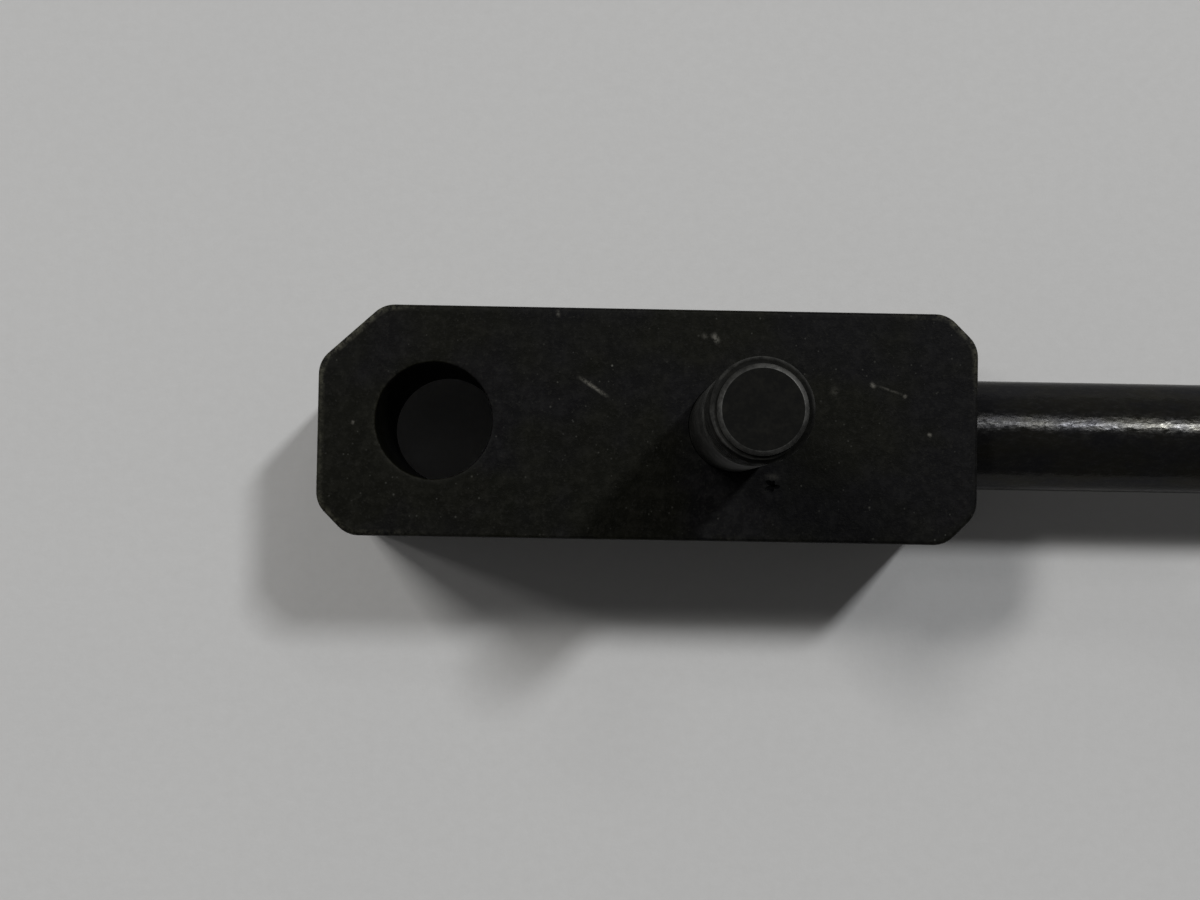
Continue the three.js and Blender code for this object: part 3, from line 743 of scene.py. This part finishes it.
def make_link_stud():
    """The stud from its foot up: plain shank, relief groove, thread, and a short plain tip."""
    bottom, top = STUD_LOW.z, STUD_HIGH.z
    thread_end = top - PILOT_LENGTH
    thread_start = thread_end - STUD_THREAD_LENGTH
    relief = thread_start - RELIEF_LENGTH

    def rubbed(along):
        """Wear of the plain shank, which fades out towards the block; the grey still left at its foot is
        painted light that lifts the shade there.
        """
        return 0.26 - 0.17 * fade(along, bottom + 8, relief - 1)

    def crest_wear(along):
        """Wear of the thread's crests: only the first one is rubbed."""
        return 0.28 if along > thread_end - 0.6 else 0.06

    def edge_wear_and_glint(angle):
        """Wear of the tip's edge, with a painted highlight: brightest on the side that faces the right lamp,
        and a painted glint at one spot beside it, facing the low lamp.
        """
        side = max(0.0, math.cos(angle - math.radians(52)))
        spot = max(0.0, math.cos(angle - math.radians(165))) ** 14
        return 0.38 + 0.62 * side + 1.2 * spot

    def envelope(along):
        first_crest = STUD_RADIUS - 0.3 + (thread_end - along)
        run_in = RELIEF_RADIUS + max(0.0, along - thread_start) * 2.0
        return min(STUD_RADIUS, first_crest, run_in)

    shank = soften(
        [
            (bottom, 0),
            (bottom, STUD_RADIUS - 0.5),
            (bottom + 0.5, STUD_RADIUS),
            *[(bottom + (relief - bottom) * i / 8, STUD_RADIUS) for i in range(1, 8)],
            (relief, STUD_RADIUS),
            (relief + 0.4, RELIEF_RADIUS),
            (thread_start, RELIEF_RADIUS),
        ],
        0.18,
        closed=False,
    )
    tip = soften(
        [
            (thread_end + 0.02, PILOT_RADIUS),
            (top - PILOT_CHAMFER, PILOT_RADIUS),
            (top, PILOT_RADIUS - PILOT_CHAMFER),
            (top, 0),
        ],
        0.10,
        closed=False,
    )
    rows = [(a, r, rubbed(a) if r > STUD_RADIUS - 0.1 else 0.0) for a, r, _ in shank[:-1]]
    rows += thread_rows(thread_start, thread_end, STUD_RADIUS, envelope, crest_wear, per_pitch=18)
    # The tip's rounded edge takes wear plus a painted highlight and glint on the sides that face the lamps.
    for along, reach, worn in tip:
        if worn == 0:
            rows.append((along, reach, 0.0))
        elif reach > PILOT_RADIUS - 0.1:
            rows.append((along, reach, lambda angle: 0.4 * edge_wear_and_glint(angle)))
        else:
            rows.append((along, reach, edge_wear_and_glint))
    rows[-1:-1] = [(top, PILOT_RADIUS - PILOT_CHAMFER - 0.06, 0.0)]
    bm, wear = revolve(rows, "Z", Vector((STUD_X, 0, 0)), closed=False)
    finish_mesh("link_stud_fine", "rod", "black_oxide", ["link_stud"], bm, wear, OXIDE_STUD)


# ------------------------------------------------------------------ pieces turned about the strut's axis

STRUT_AXIS = Vector((0, 0, AXIS_Z))
GAP = 0.1  # what the frame leaves between pieces that touch
TENON_RADIUS = 3.0  # rod's reduced end, which holds the piston pack
TENON_BORE = 3.05
ROD_SEAL_BORE = 5.03
O_RING_GROOVE_RADIUS = 7.8
O_RING_GROOVE_WIDTH = 2.1
TUBE_WALL = 1.5
BEAD_HALF_LENGTH = 1.2
BEAD_DEPTH = 0.8
RIM_TURN = 1.6  # radius of the tube's rolled-in rims
RIM_LIP = 7.6  # radius of the opening they leave


def turned_piece(name, body, slot, material, profile, corner, closed, segments=SEGMENTS):
    """A fine copy of a turned CAD node, from its profile in mm along X."""
    bm, wear = revolve(soften(profile, corner, closed), "X", STRUT_AXIS, closed, segments)
    finish_mesh(name + "_fine", body, slot, [name], bm, wear, material)


def make_piston_rod():
    """The rod with its threaded end, its tenon for the piston pack and the riveted head."""
    start, end, radius = along_and_radius("piston_rod")
    shoulder = ROD_BLOCK_HIGH.x + 0.05
    piston_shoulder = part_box("rebound_ring")[1].x / MM + GAP
    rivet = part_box("piston_washer")[1].x / MM + GAP
    chamfer = 0.3
    spigot_chamfer = 0.8
    profile = [
        (start, 0),
        (start, SPIGOT_RADIUS - spigot_chamfer),
        (start + spigot_chamfer, SPIGOT_RADIUS),
        (shoulder, SPIGOT_RADIUS),
        (shoulder, radius - chamfer),
        (shoulder + chamfer, radius),
        (piston_shoulder - chamfer, radius),
        (piston_shoulder, radius - chamfer),
        (piston_shoulder, TENON_RADIUS),
        (rivet, TENON_RADIUS),
        (rivet, TENON_RADIUS + 1.4),
        (end - 0.5, TENON_RADIUS + 1.1),
        (end, TENON_RADIUS - 0.4),
        (end, 0),
    ]
    turned_piece("piston_rod", "rod", "nitrided_rod", NITRIDED, profile, 0.15, False, FINE_SEGMENTS)


def bead_rows(middle, radius, steps=8):
    """A rolled groove as a smooth dip in a run at this radius."""
    rows = []
    for i in range(steps + 1):
        t = i / steps
        dip = 0.5 - 0.5 * math.cos(2 * math.pi * t)
        rows.append((middle + BEAD_HALF_LENGTH * (2 * t - 1), radius - BEAD_DEPTH * dip))
    return rows


def make_pressure_tube():
    """The tube: both rims rolled in, and a rolled bead that holds the pieces in at each end."""
    front_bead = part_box("seal_backing_washer")[1].x / MM + GAP + BEAD_HALF_LENGTH
    rear_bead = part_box("end_plug")[0].x / MM - GAP - BEAD_HALF_LENGTH
    bore = TUBE_RADIUS - TUBE_WALL

    def rim(at, direction):
        """Outer edge of a rolled-in rim, from the lip out to the tube's side."""
        return [
            (at + direction * RIM_TURN * (1 - math.sin(a)), TUBE_RADIUS - RIM_TURN * (1 - math.cos(a)))
            for a in (math.pi / 2 * i / 8 for i in range(8, -1, -1))
        ]

    outside = [(TUBE_START, RIM_LIP)] + rim(TUBE_START, 1) + bead_rows(front_bead, TUBE_RADIUS)
    outside += bead_rows(rear_bead, TUBE_RADIUS) + rim(TUBE_END, -1)[::-1] + [(TUBE_END, RIM_LIP)]
    inside = [(TUBE_START + TUBE_WALL, RIM_LIP), (TUBE_START + TUBE_WALL, bore)]
    inside += bead_rows(front_bead, bore) + bead_rows(rear_bead, bore)
    inside += [(TUBE_END - TUBE_WALL, bore), (TUBE_END - TUBE_WALL, RIM_LIP)]
    profile = outside + inside[::-1]
    turned_piece("pressure_tube", "cylinder", "tube_paint", PAINT, profile, 0.25, True, FINE_SEGMENTS)


def make_dust_wiper():
    """The wiper: a tapered nose in the tube's rolled rim, a flange behind it, and a lip on the rod."""
    start, end, outer = along_and_radius("dust_wiper")
    flange = start + 1.2
    nose = 7.1
    relief = 5.7
    profile = [
        (start, nose - 1.2),
        (start + 0.8, nose),
        (flange, nose),
        (flange, outer),
        (end, outer),
        (end, relief),
        (flange + 1.2, relief),
        (flange + 0.4, ROD_SEAL_BORE),
        (start, ROD_SEAL_BORE),
    ]
    turned_piece("dust_wiper", "cylinder", "seal_rubber", RUBBER, profile, 0.25, True)


def make_end_plug():
    """The plug: O-ring groove, a boss in the tube's rolled rim, the threaded stud and the filling passage."""
    start, end, outer = along_and_radius("end_plug")
    groove = start + 4.2
    groove_end = groove + O_RING_GROOVE_WIDTH
    rear = TUBE_END - RIM_TURN
    boss = 7.5
    thread_start = TUBE_END + 0.05
    minor = SPIGOT_RADIUS - THREAD_DEPTH
    screw_bore = 2.1
    ball_bore = 1.6
    passage = 0.62
    front = soften(
        [
            (start, passage),
            (start, outer),
            (groove, outer),
            (groove, O_RING_GROOVE_RADIUS),
            (groove_end, O_RING_GROOVE_RADIUS),
            (groove_end, outer),
            (rear, outer),
            (rear, boss),
            (thread_start, boss),
            (thread_start, minor),
        ],
        0.12,
        closed=False,
    )

    def envelope(along):
        return min(SPIGOT_RADIUS, minor + (end - along), minor + 0.1 + (along - thread_start) * 1.5)

    def crest_wear(along):
        return 0.8

    rows = front + thread_rows(thread_start + 0.15, end, SPIGOT_RADIUS, envelope, crest_wear, per_pitch=10)
    ball_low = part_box("filling_ball")[0].x / MM
    screw_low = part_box("filling_screw")[0].x / MM - GAP
    rows += [
        (end, screw_bore, 0.5),
        (screw_low, screw_bore, 0),
        (screw_low, ball_bore, 0),
        (ball_low + 1.1, ball_bore, 0),
        (ball_low - 0.4, passage, 0),
    ]
    bm, wear = revolve(rows, "X", STRUT_AXIS, closed=True)
    finish_mesh("end_plug_fine", "cylinder", "zinc_steel", ["end_plug"], bm, wear, ZINC)


def make_jam_nut():
    """A thin hexagon nut: both faces chamfered to a circle, the bore countersunk."""
    low, high = node_box("jam_nut")
    start, end = low.x, high.x
    flats = min(high.y - low.y, high.z - low.z) / 2
    corner = flats / math.cos(math.pi / 6)
    turn = 0 if (high.z - low.z) > (high.y - low.y) else math.pi / 6
    slope = math.tan(math.radians(30))
    chamfer_radius = flats - 0.1
    face_radius = flats - 0.35
    bore, bore_mouth, countersink = 4.08, 4.6, 0.5

    def hexagon(angle):
        local = (angle + turn + math.pi / 6) % (math.pi / 3) - math.pi / 6
        return flats / math.cos(local)

    def capped(inset_along):
        limit = chamfer_radius + inset_along / slope
        return lambda angle: min(hexagon(angle), limit)

    deepest = (corner - chamfer_radius) * slope
    depths = [deepest * (i / 6) for i in range(7)]
    rows = [(start, bore_mouth, 0.6), (start, face_radius, 0.2)]
    rows += [(start + d, capped(d), 0.9) for d in depths]
    rows += [(start + deepest + 0.3, hexagon, 0.0), (end - deepest - 0.3, hexagon, 0.0)]
    rows += [(end - d, capped(d), 0.9) for d in reversed(depths)]
    rows += [(end, face_radius, 0.2), (end, bore_mouth, 0.6)]
    rows += [(end - countersink, bore, 0.2), (start + countersink, bore, 0.2)]
    bm, wear = revolve(rows, "X", STRUT_AXIS, closed=True)
    finish_mesh("jam_nut_fine", "cylinder", "zinc_steel", ["jam_nut"], bm, wear, ZINC)


def make_inner_pieces():
    """The seal pack and the piston pack, finely turned."""
    guide_start, guide_end, guide_outer = along_and_radius("rod_guide")
    groove = guide_start + 3.9
    groove_end = groove + O_RING_GROOVE_WIDTH
    bush_seat = 6.1
    guide = [
        (guide_start, guide_outer),
        (groove, guide_outer),
        (groove, O_RING_GROOVE_RADIUS),
        (groove_end, O_RING_GROOVE_RADIUS),
        (groove_end, guide_outer),
        (guide_end, guide_outer),
        (guide_end, bush_seat),
        (guide_start, bush_seat),
    ]
    turned_piece("rod_guide", "cylinder", "guide_metal", ALUMINIUM, guide, 0.2, True)

    seal_start, seal_end, seal_outer = along_and_radius("rod_seal")
    cup_outer, cup_bottom, cup_inner = 8.1, 7.4, 6.3
    cup_depth = 2.4
    seal = [
        (seal_start, seal_outer),
        (seal_end, seal_outer),
        (seal_end, cup_outer),
        (seal_end - cup_depth, cup_bottom),
        (seal_end, cup_inner),
        (seal_end, ROD_SEAL_BORE),
        (seal_start, ROD_SEAL_BORE),
    ]
    turned_piece("rod_seal", "cylinder", "seal_rubber", RUBBER, seal, 0.2, True)

    piston_start, piston_end, piston_outer = along_and_radius("piston_body")
    ring_groove = piston_start + 2.4
    ring_groove_end = ring_groove + 3.2
    ring_groove_radius = 8.2
    piston = [
        (piston_start, piston_outer),
        (ring_groove, piston_outer),
        (ring_groove, ring_groove_radius),
        (ring_groove_end, ring_groove_radius),
        (ring_groove_end, piston_outer),
        (piston_end, piston_outer),
        (piston_end, TENON_BORE),
        (piston_start, TENON_BORE),
    ]
    turned_piece("piston_body", "rod", "zinc_steel", ZINC, piston, 0.3, True)

    # Plain rings: node, body, slot, material, bore and rounding of the corners.
    plain = [
        ("guide_bush", "cylinder", "bush_bronze", BRONZE, 5.05, 0.2),
        ("seal_support_washer", "cylinder", "plain_steel", STEEL, 5.3, 0.12),
        ("seal_backing_washer", "cylinder", "plain_steel", STEEL, 5.3, 0.12),
        ("rebound_ring", "rod", "seal_rubber", RUBBER, 5.05, 0.5),
        ("throttle_plate", "rod", "plain_steel", STEEL, TENON_BORE, 0.12),
        ("piston_ring", "piston_seal", "ring_plastic", PLASTIC, 8.25, 0.12),
        ("piston_washer", "rod", "plain_steel", STEEL, TENON_BORE, 0.2),
    ]
    for name, body, slot, material, bore, corner in plain:
        start, end, outer = along_and_radius(name)
        turned_piece(name, body, slot, material, sleeve(start, end, bore, outer), corner, True)

    o_ring_steps = 24
    for name in ("guide_o_ring", "end_plug_o_ring"):
        start, end, outer = along_and_radius(name)
        section = (end - start) / 2
        ring = [
            ((start + end) / 2 + section * math.sin(a), outer - section + section * math.cos(a))
            for a in (2 * math.pi * i / o_ring_steps for i in range(o_ring_steps))
        ]
        turned_piece(name, "cylinder", "seal_rubber", RUBBER, ring, 0.0, True)


def dress_small_nodes():
    """The ball and the screw that close the filling passage keep their CAD meshes."""
    for node, material in (("filling_ball", STEEL), ("filling_screw", OXIDE)):
        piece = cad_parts[node]
        piece.data.materials.clear()
        piece.data.materials.append(material)


# ------------------------------------------------------------------ floor, light, camera

def make_floor():
    """A wide sheet of pale paper under the strut."""
    bpy.ops.mesh.primitive_plane_add(size=6.0, location=(0, 0, 0))
    floor = bpy.context.object
    floor.name = "floor"
    n = Nodes("pale_paper")
    fibre = n.noise(900, detail=6, roughness=0.7)
    cloud = n.noise(14, detail=3)
    colour = n.mix(n.band(cloud, 0.35, 0.65), (0.678, 0.674, 0.675, 1), (0.692, 0.688, 0.687, 1))
    colour = n.mix(n.band(fibre, 0.35, 0.7, 0, 0.35), colour, (0.62, 0.615, 0.61, 1))
    n.link(colour, n.shader.inputs["Base Color"])
    n.set(Roughness=0.85, Specular_IOR_Level=0.25)
    n.link(n.bump(fibre, 0.25, 0.00012), n.shader.inputs["Normal"])
    floor.data.materials.append(n.material)


LAMP_DISTANCE = 2.0  # metres

# Lamps: direction from the rod-end block, size in metres, power in watts, colour.
LAMPS = {
    "lamp_right": ((8.3, 9.2, 20), (0.12, 0.30), 12.8, (0.975, 0.992, 1.0)),
    "lamp_left": ((-9.2, 8.8, 20), (0.40, 0.26), 11.8, (1.0, 0.992, 0.965)),
    "lamp_low": ((-24, 9.2, 20.5), (0.18, 0.18), 2.5, (1.0, 0.99, 0.97)),
    "lamp_high": ((5.0, 13.6, 20), (0.36, 0.12), 1.1, (1.0, 1.0, 1.0)),
}


def make_light(name, direction, size, power, colour):
    """A soft rectangular lamp that looks at the rod-end block."""
    target = Vector(((ROD_BLOCK_LOW.x + ROD_BLOCK_HIGH.x) / 2, 0, BAR)) * MM
    data = bpy.data.lights.new(name, "AREA")
    data.shape = "RECTANGLE"
    data.size, data.size_y = size
    data.energy = power
    data.color = colour
    lamp = bpy.data.objects.new(name, data)
    towards = Vector(direction).normalized()
    lamp.location = target + towards * LAMP_DISTANCE
    lamp.rotation_mode = "QUATERNION"
    lamp.rotation_quaternion = towards.to_track_quat("Z", "Y")
    bpy.context.scene.collection.objects.link(lamp)


def make_world():
    """Dim room light, brighter low down, beyond the strut's ends and towards +Y."""
    world = bpy.data.worlds.new("room")
    bpy.context.scene.world = world
    world.use_nodes = True
    tree = world.node_tree
    background = tree.nodes["Background"]

    def math_node(operation, first, second):
        node = tree.nodes.new("ShaderNodeMath")
        node.operation = operation
        for socket, value in zip(node.inputs, (first, second)):
            if isinstance(value, bpy.types.NodeSocket):
                tree.links.new(value, socket)
            else:
                socket.default_value = value
        return node.outputs[0]

    place = tree.nodes.new("ShaderNodeTexCoord")
    parts = tree.nodes.new("ShaderNodeSeparateXYZ")
    tree.links.new(place.outputs["Generated"], parts.inputs[0])
    ramp = tree.nodes.new("ShaderNodeMapRange")
    limits = {"From Min": 0.0, "From Max": 0.8, "To Min": 0.18, "To Max": 0.036}
    for key, number in limits.items():
        ramp.inputs[key].default_value = number
    tree.links.new(parts.outputs["Z"], ramp.inputs["Value"])
    towards_ends = math_node("ABSOLUTE", parts.outputs["X"], 0.0)
    spread = math_node("ADD", towards_ends, 0.75)
    spread = math_node("ADD", spread, math_node("MULTIPLY", parts.outputs["Y"], 0.5))
    tree.links.new(math_node("MULTIPLY", ramp.outputs["Result"], spread), background.inputs["Strength"])
    background.inputs["Color"].default_value = (1.0, 0.995, 0.98, 1)


CAMERA_FROM_EYE = Vector((12.55, -8.1))
CAMERA_ABOVE_BLOCK = 163.0
CAMERA_TILT = (2.04, -0.64, 0.99)  # degrees about X, Y and Z


def make_camera():
    """Nearly straight above the rod-end block, a little turned and tipped."""
    data = bpy.data.cameras.new("camera")
    data.sensor_width = 36.0
    data.lens = 56.8
    data.clip_start = 0.01
    camera = bpy.data.objects.new("camera", data)
    height = ROD_BLOCK_HIGH.z + CAMERA_ABOVE_BLOCK
    camera.location = Vector((EYE_X + CAMERA_FROM_EYE.x, CAMERA_FROM_EYE.y, height)) * MM
    tip_x, tip_y, turn = (math.radians(a) for a in CAMERA_TILT)
    tilt = Matrix.Rotation(tip_x, 4, "X") @ Matrix.Rotation(tip_y, 4, "Y") @ Matrix.Rotation(turn, 4, "Z")
    camera.rotation_euler = tilt.to_euler()
    bpy.context.scene.collection.objects.link(camera)
    bpy.context.scene.camera = camera


make_rod_end_block()
make_link_stud()
make_piston_rod()
make_pressure_tube()
make_dust_wiper()
make_end_plug()
make_jam_nut()
make_tube_end_block()
make_inner_pieces()
dress_small_nodes()
make_floor()
for lamp_name, settings in LAMPS.items():
    make_light(lamp_name, *settings)
make_world()
make_camera()
bpy.context.scene.view_settings.view_transform = "Standard"
